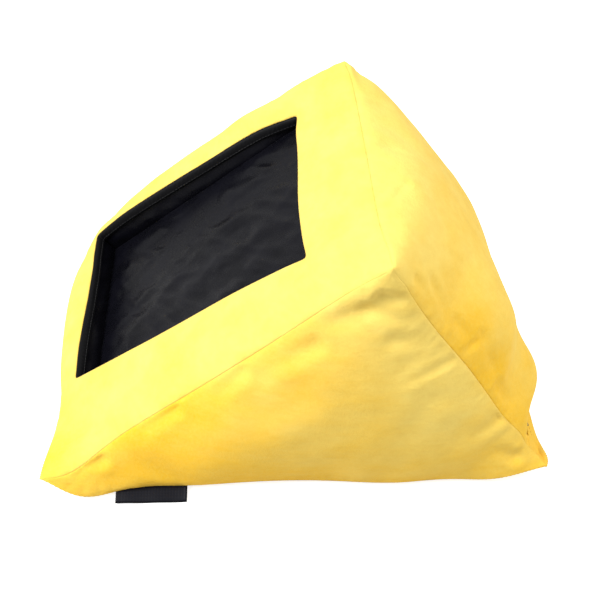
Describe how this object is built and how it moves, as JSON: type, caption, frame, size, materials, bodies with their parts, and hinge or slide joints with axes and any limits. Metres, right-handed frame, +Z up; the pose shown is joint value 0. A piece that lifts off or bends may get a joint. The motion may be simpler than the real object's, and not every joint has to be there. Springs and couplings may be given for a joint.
{
  "type": "tablet cushion stand",
  "caption": "Bead-filled wedge cushion in soft cloth, with a lined pocket in its sloping face that holds a tablet at an angle for reading or viewing.",
  "frame": {"origin": "middle of the base's underside, midway between the corner ears", "axes": "+X along the ridge towards the right-hand end, +Y from the pocket side to the back, +Z up"},
  "size_m": [0.3925, 0.4456, 0.2199],
  "materials": {
    "cover_cloth": "soft napped suede-like cloth, yellow",
    "lining_cloth": "coated black lining cloth with a soft gloss",
    "binding_tape": "folded black edge binding",
    "label_ribbon": "bare woven satin ribbon, near black",
    "bag_cloth": "plain white cotton",
    "foam_beads": "expanded foam beads, white",
    "zip_tape": "woven zip tape, yellow",
    "zip_coil": "nylon coil, yellow",
    "zip_metal": "plated metal"
  },
  "bodies": {
    "cushion": {"front_panel": "cover_cloth", "back_panel": "cover_cloth", "back_lower_strip": "cover_cloth", "base_panel": "cover_cloth", "right_end_panel": "cover_cloth", "left_end_panel": "cover_cloth", "window_binding": "binding_tape", "pocket_bed": "lining_cloth", "pocket_bottom_wall": "lining_cloth", "pocket_top_wall": "lining_cloth", "pocket_left_wall": "lining_cloth", "pocket_right_wall": "lining_cloth", "label_tab": "label_ribbon", "inner_bag": "bag_cloth", "bead_filling": "foam_beads", "zip_tape_upper": "zip_tape", "zip_tape_lower": "zip_tape", "zip_coil_upper": "zip_coil", "zip_coil_lower": "zip_coil", "zip_open_end_stop": "zip_metal", "zip_closed_end_stop": "zip_metal"},
    "slider": {"zip_slider": "zip_metal"},
    "pull": {"zip_pull_tab": "zip_metal"}
  },
  "joints": [
    {"name": "zip_slide", "type": "slide", "parent": "cushion", "child": "slider", "axis": [-1, 0, 0], "range_m": [0, 0.259]},
    {"name": "pull_swing", "type": "hinge", "parent": "slider", "child": "pull", "pos_m": [0.1295, 0.20596, 0.01948], "axis": [0, 0.6127, -0.7903], "range_deg": [0, 170]}
  ]
}
